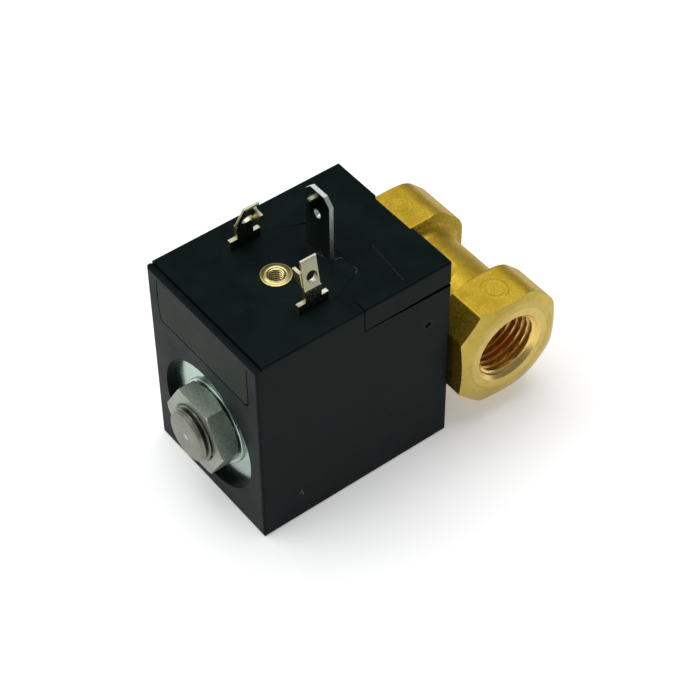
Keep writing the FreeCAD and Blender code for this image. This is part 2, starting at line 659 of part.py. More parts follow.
def coil_housing():
    """Black moulding round the bobbin and the yoke, with a round window at each end."""
    low_front, low_rear = cap_floor((CAP_GAP_FRONT, CAP_GAP_REAR))
    half_seam = SEAM / 2
    windows = [rod(WINDOW_R, -1, WINDOW_DEPTH), rod(WINDOW_R, COIL_LENGTH - WINDOW_DEPTH, COIL_LENGTH + 1)]
    packed = rod(FLANGE_R, WINDOW_DEPTH + PLATE_THICK, COIL_LENGTH - WINDOW_DEPTH - PLATE_THICK)
    bore = rod(SLEEVE_R, WINDOW_DEPTH - 0.1, COIL_LENGTH - WINDOW_DEPTH + 0.1)
    leads = [winding_lead(side) for side in (-1, 1)]
    metal = [yoke_frame(), power_terminal(-1), power_terminal(1), earth_terminal(), insert_slug()]
    pockets = [carrier_prism(half_seam), panel_prism(half_seam * 2), cap_prism(low_front, low_rear, SEAM)]
    shell = block_envelope().cut(windows + [packed, bore])
    shell = shell.cut(metal + leads)
    return shell.cut(pockets + [gate_pit()])


# ---- fastening ----------------------------------------------------------------------------
def coil_nut():
    """Hexagon nut, crisp in front and chamfered behind."""
    rear = NUT_FRONT + NUT_THICK
    corner_r = NUT_FLATS / 2 / math.cos(math.pi / 6)
    shape = turned([(0, NUT_FRONT), (NUT_FLATS / 2 + 0.75, NUT_FRONT), (corner_r + 0.1, NUT_FRONT + 0.25),
                    (corner_r + 0.1, rear - 0.75), (NUT_FLATS / 2 - 0.1, rear), (0, rear)])
    bore = turned([(0, NUT_FRONT - 1), (NUT_BORE_R + 0.35, NUT_FRONT - 1), (NUT_BORE_R + 0.35, NUT_FRONT),
                   (NUT_BORE_R, NUT_FRONT + 0.35), (NUT_BORE_R, rear + 1), (0, rear + 1)])
    return hexagon(NUT_FLATS, NUT_FRONT, rear).common(shape).cut(bore)


def lock_washer():
    """Thin washer between the nut and the front pole plate."""
    rear = WINDOW_DEPTH - FACE_GAP
    front = rear - WASHER_THICK
    return turned([(WASHER_BORE_R, front), (WASHER_R - 0.1, front), (WASHER_R, front + 0.1),
                   (WASHER_R, rear), (WASHER_BORE_R, rear)])


# ---- write one file per piece -------------------------------------------------------------
PIECES = {
    "valve_body": valve_body,
    "fixed_core": fixed_core,
    "shading_ring": shading_ring,
    "guide_tube": guide_tube,
    "tube_collar": tube_collar,
    "tube_o_ring": tube_o_ring,
    "plunger": plunger,
    "plunger_seal": plunger_seal,
    "plunger_spring": plunger_spring,
    "coil_housing": coil_housing,
    "front_panel": front_panel,
    "terminal_carrier": terminal_carrier,
    "rear_top_cap": rear_top_cap,
    "bobbin": bobbin,
    "winding": winding,
    "yoke_frame": yoke_frame,
    "flux_sleeve_front": flux_sleeve_front,
    "flux_sleeve_rear": flux_sleeve_rear,
    "coil_gasket": coil_gasket,
    "earth_terminal": earth_terminal,
    "threaded_insert": threaded_insert,
    "coil_nut": coil_nut,
    "lock_washer": lock_washer,
}


def main():
    os.makedirs("parts", exist_ok=True)
    shapes = {name: make() for name, make in PIECES.items()}
    for name, side in (("left", -1), ("right", 1)):
        shapes["power_terminal_" + name] = power_terminal(side)
        shapes["winding_lead_" + name] = winding_lead(side)
    for name, shape in shapes.items():
        shape.exportStep(os.path.join("parts", name + ".step"))
        print(name, "solids", len(shape.Solids), "valid", shape.isValid(), "volume", round(shape.Volume, 1))


main()
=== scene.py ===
"""Looks of the solenoid valve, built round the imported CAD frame.  Metres, same frame as the CAD."""
import json
import math

import bpy
from mathutils import Matrix, Vector


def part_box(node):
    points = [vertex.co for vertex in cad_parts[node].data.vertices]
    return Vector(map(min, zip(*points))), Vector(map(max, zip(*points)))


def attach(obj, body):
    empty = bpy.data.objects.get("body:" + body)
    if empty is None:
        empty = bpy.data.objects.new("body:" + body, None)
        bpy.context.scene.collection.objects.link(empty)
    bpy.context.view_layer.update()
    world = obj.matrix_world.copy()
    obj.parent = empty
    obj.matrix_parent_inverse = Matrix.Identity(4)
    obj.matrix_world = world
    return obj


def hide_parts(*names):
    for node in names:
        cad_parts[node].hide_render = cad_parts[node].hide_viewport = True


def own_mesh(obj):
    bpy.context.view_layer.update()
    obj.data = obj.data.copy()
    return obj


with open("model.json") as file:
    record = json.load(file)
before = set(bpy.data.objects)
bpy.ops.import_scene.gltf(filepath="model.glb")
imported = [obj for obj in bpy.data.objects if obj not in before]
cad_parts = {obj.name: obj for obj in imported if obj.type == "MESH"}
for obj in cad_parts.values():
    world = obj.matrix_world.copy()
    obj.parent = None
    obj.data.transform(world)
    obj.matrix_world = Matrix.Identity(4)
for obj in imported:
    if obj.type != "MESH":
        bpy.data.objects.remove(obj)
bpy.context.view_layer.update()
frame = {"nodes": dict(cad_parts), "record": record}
nodes = frame["nodes"]
MM = 0.001

# ---- places taken from the frame ----------------------------------------------------------
housing_low, housing_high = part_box("coil_housing")
body_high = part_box("valve_body")[1]
core_low, core_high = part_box("fixed_core")
insert_low, insert_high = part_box("threaded_insert")
spring_low, spring_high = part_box("plunger_spring")
mounts = {mount["name"]: mount for mount in frame["record"]["mounts"]}
AXIS_Z = (core_low.z + core_high.z) / 2
TOP_Z = housing_high.z
SIDE_X = housing_high.x
FRONT_Y = housing_low.y
STUD_FRONT = core_low.y
GATE_AT = (housing_low.y + 34.2 * MM, 29.2 * MM)
PORT_Y = mounts["outlet_port"]["pos_m"][1]
PORT_REACH = body_high.x
INSERT_Y = mounts["connector_screw"]["pos_m"][1]
POLE_Y = core_high.y

# ---- small marks on the coil, in millimetres ----------------------------------------------


def box_mm(node):
    """The two corners of a CAD node's box, in millimetres."""
    low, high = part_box(node)
    return low / MM, high / MM


carrier_front, carrier_rear = box_mm("terminal_carrier")
panel_low, panel_high = box_mm("front_panel")
insert_front, insert_rear = box_mm("threaded_insert")
left_front, left_rear = box_mm("power_terminal_left")
right_front, right_rear = box_mm("power_terminal_right")
earth_front, earth_rear = box_mm("earth_terminal")
cap_front, cap_rear = box_mm("rear_top_cap")
RIGHT_BLADE_X = (right_front.x + right_rear.x) / 2
CAP_MIDDLE_Y = (cap_front.y + cap_rear.y) / 2
TICK_AT = (FRONT_Y / MM + 7.5, 6.0)
TICK_SHAPE = ((0.0, 0.0), (0.4, 0.4), (0.6, -0.7))
NOTCH_AT = (SIDE_X / MM - 3.7, 4.4)
NOTCH_SHAPE = ((0.0, 0.0), (-0.1, -1.2), (0.4, -1.3))
PANEL_SEAM_OUT = 0.15
PANEL_CORNER = 0.7
PANEL_SEAM_WIDTH = 0.30
CAP_SHADOW_WIDTH = 0.42
CAP_SHADOW_SHARE = 0.4
CAP_SHADOW_DROP = 0.4
TICK_WIDTH = 0.20
NOTCH_WIDTH = 0.20


def moved(shape, place):
    """A small mark's points, moved to its place on a face."""
    return tuple((first + place[0], second + place[1]) for first, second in shape)


def panel_seam():
    """The gap round the front panel: open at the top, with its lower corners cut."""
    left = panel_low.x - PANEL_SEAM_OUT
    right = panel_high.x + PANEL_SEAM_OUT
    low = panel_low.z - PANEL_SEAM_OUT
    return ((left, panel_high.z), (left, low + PANEL_CORNER), (left + PANEL_CORNER, low),
            (right - PANEL_CORNER, low), (right, low + PANEL_CORNER), (right, panel_high.z))


def cap_shadow():
    """The dark gap under the rear cap, towards the rear where it is widest."""
    start = cap_front.y + CAP_SHADOW_SHARE * (cap_rear.y - cap_front.y)
    height = cap_front.z - CAP_SHADOW_DROP
    return ((start, height), (cap_rear.y, height))


def left_seam():
    """The open seam from the left blade's rear edge to the carrier's rear edge."""
    return ((left_front.x + 0.4, left_rear.y), (left_rear.x - 0.5, carrier_rear.y))


def shell_lines():
    """Light lines on the coil's top, as (points, width, strength), placed from the pieces beside them: two
    scratches, and painted highlights, partly edge wear, along the seam beside the left blade, the carrier's
    rear edge and behind the right blade.
    """
    beside_seam = moved(left_seam(), (0.6, 0.0))
    across_cap = ((earth_rear.x + 1.0, CAP_MIDDLE_Y + 1.0), (cap_rear.x - 1.5, CAP_MIDDLE_Y))
    to_carrier = ((earth_rear.x, FRONT_Y / MM + 3.0), (earth_rear.x, carrier_front.y))
    carrier_edge = ((earth_rear.x + 0.5, carrier_rear.y), (earth_rear.x + 4.0, carrier_rear.y),
                    (earth_rear.x + 4.5, carrier_rear.y - 1.0))
    behind_right = ((RIGHT_BLADE_X, right_rear.y + 1.0), (RIGHT_BLADE_X - 0.5, right_rear.y + 5.5))
    return ((beside_seam, 0.14, 0.90), (across_cap, 0.06, 0.45), (to_carrier, 0.07, 0.16),
            (carrier_edge, 0.12, 0.85), (behind_right, 0.12, 0.85))


def shell_seams():
    """Painted shade along the open seams beside the two power blades, as (points, width)."""
    right_seam = ((right_rear.x, right_rear.y - 0.5), (carrier_rear.x + 0.25, right_rear.y + 2.0))
    return ((left_seam(), 0.34), (right_seam, 0.13))


def carrier_lines():
    """Light lines on the terminal carrier: a painted highlight, partly edge wear, round the earth blade's
    foot, and two scratches beside the insert.
    """
    round_earth = ((0.0, earth_front.y - 0.3), (earth_rear.x - 0.5, earth_front.y + 0.2),
                   (earth_rear.x + 0.3, carrier_rear.y))
    left_of_insert = ((insert_front.x - 1.8, insert_front.y + 0.9),
                      (insert_front.x + 0.3, insert_rear.y + 1.0))
    right_of_insert = ((insert_rear.x + 1.5, insert_front.y - 1.4),
                       (RIGHT_BLADE_X - 0.4, insert_rear.y - 2.0))
    return ((round_earth, 0.12, 0.85), (left_of_insert, 0.06, 0.18), (right_of_insert, 0.06, 0.14))


# ---- thread sizes -------------------------------------------------------------------------
NUT_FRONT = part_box("coil_nut")[0].y
STUD_PITCH = 1.0 * MM
STUD_DEPTH = 0.55 * MM
PORT_PITCH = 1.337 * MM
PORT_DEPTH = 0.86 * MM
SCREW_PITCH = 0.5 * MM
SCREW_DEPTH = 0.27 * MM

# ---- camera, floor and light --------------------------------------------------------------
CAMERA_AT = (0.19431, -0.14769, 0.27799)
CAMERA_AZIMUTH = 52.467
CAMERA_ELEVATION = 47.183
CAMERA_ROLL = -0.348
CAMERA_LENS = 107.995
SENSOR_WIDTH = 36.0
SKY_COLOR = (0.96, 0.98, 1.0, 1.0)
SKY_STRENGTH = 0.20
LAMP_SIZE = 1.1
LAMP_TARGET = (0, 0, 0.02)
KEY_AT = (-0.50, -0.80, 0.85)
KEY_POWER = 5.5
OVERHEAD_AT = (-0.22, 0.12, 1.25)
OVERHEAD_POWER = 10.2
FLOOR_REACH = 3.0
FLOOR_COLOR = (0.97, 0.97, 0.97, 1.0)
FLOOR_ROUGHNESS = 0.9
FLOOR_GLOW = 0.30


def add_camera():
    """Camera that looks down at the nut's end and the outlet side."""
    data = bpy.data.cameras.new("camera")
    data.sensor_width = SENSOR_WIDTH
    data.lens = CAMERA_LENS
    data.clip_start = 0.01
    camera = bpy.data.objects.new("camera", data)
    bpy.context.scene.collection.objects.link(camera)
    tilt = Matrix.Rotation(math.radians(90 - CAMERA_ELEVATION), 4, "X")
    turn = Matrix.Rotation(math.radians(CAMERA_AZIMUTH), 4, "Z")
    roll = Matrix.Rotation(math.radians(CAMERA_ROLL), 4, "Z")
    camera.matrix_world = Matrix.Translation(CAMERA_AT) @ turn @ tilt @ roll
    bpy.context.scene.camera = camera


def add_area(name, at, power):
    """Square soft lamp that looks at the valve."""
    data = bpy.data.lights.new(name, "AREA")
    data.shape = "RECTANGLE"
    data.size = LAMP_SIZE
    data.size_y = LAMP_SIZE
    data.energy = power
    lamp = bpy.data.objects.new(name, data)
    lamp.location = at
    lamp.rotation_mode = "QUATERNION"
    lamp.rotation_quaternion = (Vector(LAMP_TARGET) - Vector(at)).to_track_quat("-Z", "Y")
    bpy.context.scene.collection.objects.link(lamp)


def add_studio():
    """Even pale sky and two soft lamps."""
    world = bpy.data.worlds.new("studio")
    world.use_nodes = True
    sky = world.node_tree.nodes["Background"]
    sky.inputs["Color"].default_value = SKY_COLOR
    sky.inputs["Strength"].default_value = SKY_STRENGTH
    bpy.context.scene.world = world
    add_area("key", KEY_AT, KEY_POWER)
    add_area("overhead", OVERHEAD_AT, OVERHEAD_POWER)
    bpy.context.scene.view_settings.view_transform = "Standard"


def add_floor():
    """Plain white sheet that the valve stands on; it isn't part of the valve."""
    mesh = bpy.data.meshes.new("floor")
    corners = [(-1, -1), (1, -1), (1, 1), (-1, 1)]
    mesh.from_pydata([(FLOOR_REACH * x, FLOOR_REACH * y, 0) for x, y in corners], [], [(0, 1, 2, 3)])
    floor = bpy.data.objects.new("floor", mesh)
    bpy.context.scene.collection.objects.link(floor)
    material = bpy.data.materials.new("floor_paper")
    material.use_nodes = True
    shader = material.node_tree.nodes["Principled BSDF"]
    shader.inputs["Base Color"].default_value = FLOOR_COLOR
    shader.inputs["Roughness"].default_value = FLOOR_ROUGHNESS
    shader.inputs["Emission Color"].default_value = (1.0, 1.0, 1.0, 1.0)
    shader.inputs["Emission Strength"].default_value = FLOOR_GLOW
    mesh.materials.append(material)


# ---- finishes: values that are named because they matter to the look ----------------------
PLASTIC_IOR = 1.12
# Near-black for painted shade in the open seams, the gate pit, the gap under the rear cap and the panel
# seam, and for the small notch mark.
DEEP_BLACK = (0.0006, 0.0010, 0.0009)
# Light grey of the wear marks, also used for the painted highlights along seam edges.
WEAR_AND_GLINT_GREY = (0.095, 0.110, 0.104)
TOOL_RING_R = 8.65
GATE_PIT_R = 0.62
GATE_SCUFF_R = 1.25


# ---- node graph helpers -------------------------------------------------------------------
class Graph:
    """A material's node tree with short calls to add and link nodes."""

    def __init__(self, name):
        self.material = bpy.data.materials.new(name)
        self.material.use_nodes = True
        self.tree = self.material.node_tree
        self.shader = self.tree.nodes["Principled BSDF"]
        self.place = self.tree.nodes.new("ShaderNodeTexCoord").outputs["Object"]

    def feed(self, socket, value):
        if isinstance(value, bpy.types.NodeSocket):
            self.tree.links.new(value, socket)
        else:
            socket.default_value = value

    def add(self, kind, settings=None, **sockets):
        made = self.tree.nodes.new("ShaderNode" + kind)
        for key, value in (settings or {}).items():
            setattr(made, key, value)
        for key, value in sockets.items():
            self.feed(made.inputs[key.replace("_", " ")], value)
        return made

    def math(self, operation, first, second=0.0):
        made = self.tree.nodes.new("ShaderNodeMath")
        made.operation = operation
        for socket, value in zip(made.inputs, (first, second)):
            self.feed(socket, value)
        return made.outputs[0]

    def times(self, first, second):
        return self.math("MULTIPLY", first, second)

    def plus(self, first, second):
        return self.math("ADD", first, second)

    def minus(self, first, second):
        return self.math("SUBTRACT", first, second)

    def most(self, first, second):
        return self.math("MAXIMUM", first, second)

    def noise(self, scale, detail=3.0, rough=0.5, stretch=None, seed=0.0):
        vector = self.place
        if stretch or seed:
            scale_by = stretch or (1, 1, 1)
            made = self.add("Mapping", None, Vector=vector, Scale=scale_by, Location=(seed, seed, seed))
            vector = made.outputs[0]
        made = self.add("TexNoise", None, Vector=vector, Scale=scale, Detail=detail, Roughness=rough)
        return made.outputs["Fac"]

    def ramp(self, value, low, high, to_low=0.0, to_high=1.0):
        made = self.add("MapRange", {"interpolation_type": "SMOOTHSTEP"}, Value=value)
        for key, amount in (("From Min", low), ("From Max", high), ("To Min", to_low), ("To Max", to_high)):
            self.feed(made.inputs[key], amount)
        return made.outputs[0]

    def mix(self, factor, first, second):
        made = self.tree.nodes.new("ShaderNodeMix")
        made.data_type = "RGBA"
        self.feed(made.inputs[0], factor)
        for socket, value in ((made.inputs[6], first), (made.inputs[7], second)):
            self.feed(socket, value if isinstance(value, bpy.types.NodeSocket) else (*value, 1.0))
        return made.outputs[2]

    def bump(self, height, depth):
        """Normals of a relief this deep, in metres."""
        return self.add("Bump", None, Height=height, Distance=depth, Strength=1.0).outputs[0]

    def axes(self):
        """Place along X, Y and Z in millimetres, in the row frame."""
        parts = self.add("SeparateXYZ", None, Vector=self.place)
        return [self.times(part, 1000.0) for part in parts.outputs]

    def facing(self, axis, sign=0):
        """How squarely a face looks along an axis of the row frame: either way, or one way for a sign."""
        normal = self.tree.nodes.new("ShaderNodeTexCoord").outputs["Normal"]
        part = self.add("SeparateXYZ", None, Vector=normal).outputs[axis]
        return self.times(part, float(sign)) if sign else self.math("ABSOLUTE", part)

    def path(self, first, second, points, width):
        """One along a run of straight lines through points of a plane, in millimetres."""
        line = self.scratch(first, second, points[0], points[1], width)
        for start, end in zip(points[1:], points[2:]):
            line = self.most(line, self.scratch(first, second, start, end, width))
        return line

    def radius(self, first, second, first_middle, second_middle):
        """Distance from an axis, in millimetres."""
        across = self.minus(first, first_middle)
        up = self.minus(second, second_middle)
        squares = self.plus(self.times(across, across), self.times(up, up))
        return self.math("SQRT", squares)

    def scratch(self, first, second, start, end, width):
        """One on a straight line between two points of a plane, in millimetres; zero away from it."""
        run = (end[0] - start[0], end[1] - start[1])
        size = run[0] ** 2 + run[1] ** 2
        across = self.minus(first, start[0])
        up = self.minus(second, start[1])
        share = self.plus(self.times(across, run[0] / size), self.times(up, run[1] / size))
        share = self.math("MINIMUM", self.most(share, 0.0), 1.0)
        gap_x = self.minus(across, self.times(share, run[0]))
        gap_y = self.minus(up, self.times(share, run[1]))
        squares = self.plus(self.times(gap_x, gap_x), self.times(gap_y, gap_y))
        return self.ramp(self.math("SQRT", squares), width, width * 0.3)

    def specks(self, scale, size, seed):
        """Sparse dots, such as dust: one inside a dot and zero between them."""
        vector = self.add("Mapping", None, Vector=self.place, Location=(seed, seed, seed)).outputs[0]
        made = self.add("TexVoronoi", None, Vector=vector, Scale=scale)
        red = self.add("SeparateColor", None, Color=made.outputs["Color"]).outputs[0]
        chosen = self.ramp(red, 0.80, 0.86)
        return self.times(self.ramp(made.outputs["Distance"], size, size * 0.4), chosen)

    def finish(self, color, roughness, normal=None, metallic=0.0, **constants):
        self.feed(self.shader.inputs["Base Color"], color)
        self.feed(self.shader.inputs["Roughness"], roughness)
        self.feed(self.shader.inputs["Metallic"], metallic)
        if normal is not None:
            self.feed(self.shader.inputs["Normal"], normal)
        for key, value in constants.items():
            self.shader.inputs[key.replace("_", " ")].default_value = value
        return self.material


def paint(node, material):
    """Gives a carried-over CAD node its finish."""
    mesh = nodes[node].data
    if not mesh.materials:
        mesh.materials.append(material)
    for index in range(len(mesh.materials)):
        mesh.materials[index] = material


def black_plastic(name, base, seed, low_rough, high_rough, top_lines=(), seam_shade_lines=(), front_line=()):
    """Moulded plastic with a fine spark-eroded grain, clouding, light rubs, scratches, seam wear and a
    little dust; the light lines along seam edges are also painted highlights, and near-black painted shade
    fills the open seams, the gate pit, the gap under the rear cap and the panel seam.
    """
    g = Graph(name)
    x, y, z = g.axes()
    cloud = g.noise(160.0, 4.0, 0.6, seed=seed)
    grain = g.noise(4200.0, 2.0, 0.5, seed=seed)
    rubs = g.noise(900.0, 2.0, 0.7, stretch=(0.25, 3.0, 1.0), seed=seed)
    breaks = g.ramp(g.noise(1400.0, 2.0, 0.6, seed=seed + 5.0), 0.40, 0.56)
    wobble = g.times(g.minus(g.noise(2600.0, 2.0, 0.6, seed=seed + 2.0), 0.5), 0.24)
    on_top = g.ramp(z, TOP_Z / MM - 0.1, TOP_Z / MM - 0.05)
    on_front = g.ramp(y, FRONT_Y / MM + 2.0, FRONT_Y / MM + 1.9)
    on_side = g.ramp(x, SIDE_X / MM - 0.1, SIDE_X / MM - 0.05)
    # worn gathers dust specks, scratches, the side tick and the gate scuff, and light lines along seam
    # edges that are painted highlights as well as wear.
    worn = g.times(g.specks(420.0, 0.05, seed), 0.3)
    for points, width, strength in top_lines:
        line = g.times(g.path(g.plus(x, wobble), y, points, width), on_top)
        worn = g.most(worn, g.times(g.times(line, breaks), strength))
    tick = g.times(g.path(y, z, moved(TICK_SHAPE, TICK_AT), TICK_WIDTH), on_side)
    around = g.radius(y, z, GATE_AT[0] / MM, GATE_AT[1] / MM)
    scuff = g.times(g.times(g.ramp(around, GATE_SCUFF_R, 0.75), on_side), breaks)
    worn = g.most(worn, g.most(g.times(tick, 0.8), g.times(scuff, 0.16)))
    shade = g.mix(g.ramp(cloud, 0.35, 0.7), base, tuple(1.35 * c for c in base))
    color = g.mix(worn, shade, WEAR_AND_GLINT_GREY)
    # Painted shade: the open seams beside the power blades are mixed to near-black.
    for points, width in seam_shade_lines:
        line = g.times(g.path(g.plus(x, wobble), y, points, width), on_top)
        color = g.mix(line, color, DEEP_BLACK)
    # Painted shade: the gate pit and the gap under the rear cap are mixed to near-black.
    pit = g.times(g.ramp(g.plus(around, g.times(wobble, 3.0)), GATE_PIT_R, 0.50), on_side)
    under_cap = g.path(y, g.plus(z, wobble), cap_shadow(), CAP_SHADOW_WIDTH)
    color = g.mix(g.most(pit, g.times(under_cap, on_side)), color, DEEP_BLACK)
    # Painted shade: the seam round the front panel is mixed to near-black, and so is the small notch mark
    # beside it.
    if front_line:
        dark = g.path(g.plus(x, wobble), z, front_line, PANEL_SEAM_WIDTH)
        notch = g.path(x, z, moved(NOTCH_SHAPE, NOTCH_AT), NOTCH_WIDTH)
        dark = g.times(g.most(dark, notch), on_front)
        color = g.mix(dark, color, DEEP_BLACK)
    roughness = g.plus(g.ramp(cloud, 0.3, 0.7, low_rough, high_rough), g.ramp(rubs, 0.55, 0.75, 0.0, 0.06))
    normal = g.bump(grain, 0.000006)
    return g.finish(color, roughness, normal, IOR=PLASTIC_IOR)


def forged_brass():
    """Forged and tumbled brass; its turned end faces are smoother and paler; painted shade makes its bores
    darker and warmer towards the inside, and darkens the forged faces that look forwards or along +X.
    """
    g = Graph("forged_brass")
    x, y, z = g.axes()
    cloud = g.noise(260.0, 4.0, 0.65, seed=0.3)
    grain = g.noise(3400.0, 3.0, 0.65, seed=0.3)
    pits = g.noise(9000.0, 2.0, 0.5, seed=0.9)
    reach = g.math("ABSOLUTE", x)
    r = g.radius(y, z, PORT_Y / MM, AXIS_Z / MM)
    cone = g.minus(r, g.times(g.minus(PORT_REACH / MM, reach), 3.0))
    outer_cone = g.times(g.ramp(cone, 9.38, 9.46), g.ramp(reach, 16.0, 16.2))
    flat_end = g.ramp(reach, PORT_REACH / MM - 0.04, PORT_REACH / MM - 0.01)
    bore = g.times(g.ramp(r, 6.93, 6.86), g.ramp(reach, 7.5, 7.9))
    turned = g.most(g.most(outer_cone, flat_end), bore)
    uneven = g.plus(r, g.times(cloud, 0.5))
    off_ring = g.math("ABSOLUTE", g.minus(uneven, TOOL_RING_R))
    tool_ring = g.times(g.ramp(off_ring, 0.09, 0.02), g.ramp(g.noise(420.0, 2.0, 0.6, seed=2.2), 0.44, 0.6))
    forged = g.mix(g.ramp(grain, 0.30, 0.72), (0.52, 0.355, 0.024), (0.75, 0.525, 0.060))
    forged = g.mix(g.ramp(cloud, 0.42, 0.68, 0.0, 0.8), forged, (0.50, 0.33, 0.030))
    # Painted shade: forged faces that look forwards (-Y) or along +X are mixed towards a darker brass; the
    # mask dull says where.
    dull = g.most(g.ramp(g.facing(1, -1), 0.55, 0.85), g.ramp(g.facing(0, 1), 0.35, 0.9, 0.0, 0.55))
    shaded = g.mix(g.ramp(grain, 0.50, 0.66), (0.19, 0.125, 0.010), (0.60, 0.42, 0.055))
    forged = g.mix(dull, forged, shaded)
    yellow = g.mix(g.ramp(cloud, 0.3, 0.7), (0.45, 0.325, 0.060), (0.52, 0.39, 0.088))
    pale = g.mix(g.ramp(cloud, 0.3, 0.7), (0.52, 0.385, 0.090), (0.60, 0.46, 0.130))
    machined = g.mix(g.ramp(uneven, 8.35, 8.75), pale, yellow)
    machined = g.mix(g.times(tool_ring, 0.6), machined, (0.26, 0.18, 0.05))
    # Painted shade in the bores: darker and warmer towards the inside.
    inner = g.mix(g.ramp(reach, 17.2, 12.0), (0.86, 0.61, 0.19), (0.84, 0.46, 0.11))
    color = g.mix(turned, forged, g.mix(bore, machined, inner))
    satin = g.ramp(pits, 0.3, 0.7, 0.46, 0.58)
    smooth = g.ramp(pits, 0.3, 0.7, 0.26, 0.36)
    roughness = g.plus(g.times(satin, g.minus(1.0, turned)), g.times(smooth, turned))
    rings = g.math("SINE", g.times(r, 42.0))
    cast = g.times(grain, g.minus(1.0, turned))
    tooled = g.times(g.times(rings, 0.10), turned)
    normal = g.bump(g.plus(cast, tooled), 0.000032)
    return g.finish(color, roughness, normal, metallic=1.0)


def plated(name, dull, bright, low_rough, high_rough, seed, grain=2600.0, depth=0.000008, stained=0.5):
    """Plated steel with a fine grain and dull stains."""
    g = Graph(name)
    cloud = g.noise(350.0, 4.0, 0.6, seed=seed)
    drawn = g.noise(grain, 3.0, 0.6, seed=seed)
    stains = g.noise(1100.0, 3.0, 0.7, seed=seed + 3.0)
    color = g.mix(g.ramp(drawn, 0.3, 0.7), dull, bright)
    color = g.mix(g.ramp(stains, 0.60, 0.80, 0.0, stained), color, tuple(0.55 * c for c in dull))
    roughness = g.plus(g.ramp(drawn, 0.3, 0.7, low_rough, high_rough), g.ramp(cloud, 0.3, 0.7, -0.03, 0.03))
    return g.finish(color, roughness, g.bump(drawn, depth), metallic=1.0)


def stamped(name, face_axis, face, edge, side, face_rough, side_rough, seed):
    """Sheet blade: polished along its faces, rougher on its sheared top edges and on its sides; the faces
    that look along Z get the brighter edge colour as a painted highlight.
    """
    g = Graph(name)
    cloud = g.noise(450.0, 4.0, 0.6, seed=seed)
    drawn = g.noise(2600.0, 3.0, 0.6, stretch=(1.0, 1.0, 0.25), seed=seed)
    sheared = g.noise(3600.0, 3.0, 0.6, seed=seed + 1.0)
    on_side = g.ramp(g.facing(face_axis), 0.80, 0.60)
    on_top = g.ramp(g.facing(2), 0.42, 0.62)
    flat = g.mix(g.ramp(cloud, 0.3, 0.7), tuple(0.86 * c for c in face), face)
    sides = g.mix(g.ramp(sheared, 0.3, 0.7), tuple(0.70 * c for c in side), side)
    # Painted highlight: faces that look along Z take the edge colour, brighter than the blade's faces.
    painted_highlight_tops = g.mix(g.ramp(sheared, 0.3, 0.7), tuple(0.80 * c for c in edge), edge)
    color = g.mix(on_top, g.mix(on_side, flat, sides), painted_highlight_tops)
    polished = g.ramp(drawn, 0.3, 0.7, face_rough, face_rough + 0.07)
    rough = g.most(g.times(on_side, side_rough), g.times(on_top, 0.42))
    height = g.plus(g.times(drawn, 0.2), g.times(sheared, on_top))
    return g.finish(color, g.most(polished, rough), g.bump(height, 0.000004), metallic=1.0)


def insert_brass():
    """Turned insert: satin flange with a brighter lip, and painted shade darkening the roots down its
    thread.
    """
    g = Graph("insert_brass")
    x, y = g.axes()[:2]
    cloud = g.noise(700.0, 3.0, 0.6, seed=0.4)
    r = g.radius(x, y, 0.0, INSERT_Y / MM)
    flange = g.mix(g.ramp(cloud, 0.3, 0.7), (0.31, 0.255, 0.080), (0.39, 0.325, 0.115))
    lip = g.times(g.ramp(r, 2.15, 1.95), g.ramp(r, 1.50, 1.56))
    rim = g.ramp(r, 2.42, 2.58)
    color = g.mix(g.most(lip, rim), flange, (0.74, 0.65, 0.30))
    inside = g.ramp(r, 1.54, 1.50)
    # Painted shade: the thread's roots inside the bore go near-black, while its crests stay a bright brass.
    thread = g.mix(g.ramp(r, 1.44, 1.30), (0.060, 0.034, 0.010), (0.95, 0.80, 0.38))
    color = g.mix(inside, color, thread)
    rings = g.math("SINE", g.times(r, 60.0))
    return g.finish(color, g.ramp(cloud, 0.3, 0.7, 0.28, 0.36), g.bump(rings, 0.0000015), metallic=1.0)


def nut_steel():
    """Drawn hexagon bar: short streaks along the nut's axis on its sides, a smoother turned front."""
    g = Graph("nut_steel")
    x, y, z = g.axes()
    streaks = g.noise(6800.0, 3.0, 0.7, stretch=(1.0, 0.30, 1.0), seed=0.6)
    cloud = g.noise(500.0, 4.0, 0.6, seed=0.6)
    r = g.radius(x, z, 0.0, AXIS_Z / MM)
    front = g.ramp(y, NUT_FRONT / MM + 0.06, NUT_FRONT / MM + 0.02)
    sides = g.mix(g.ramp(streaks, 0.3, 0.72), (0.29, 0.355, 0.295), (0.58, 0.66, 0.56))
    face = g.mix(g.ramp(cloud, 0.3, 0.7), (0.26, 0.29, 0.235), (0.32, 0.35, 0.285))
    color = g.mix(front, sides, face)
    roughness = g.ramp(streaks, 0.3, 0.7, 0.36, 0.50)
    rings = g.times(g.math("SINE", g.times(r, 38.0)), 0.12)
    height = g.plus(g.times(streaks, g.minus(1.0, front)), g.times(rings, front))
    return g.finish(color, roughness, g.bump(height, 0.000018), metallic=1.0)


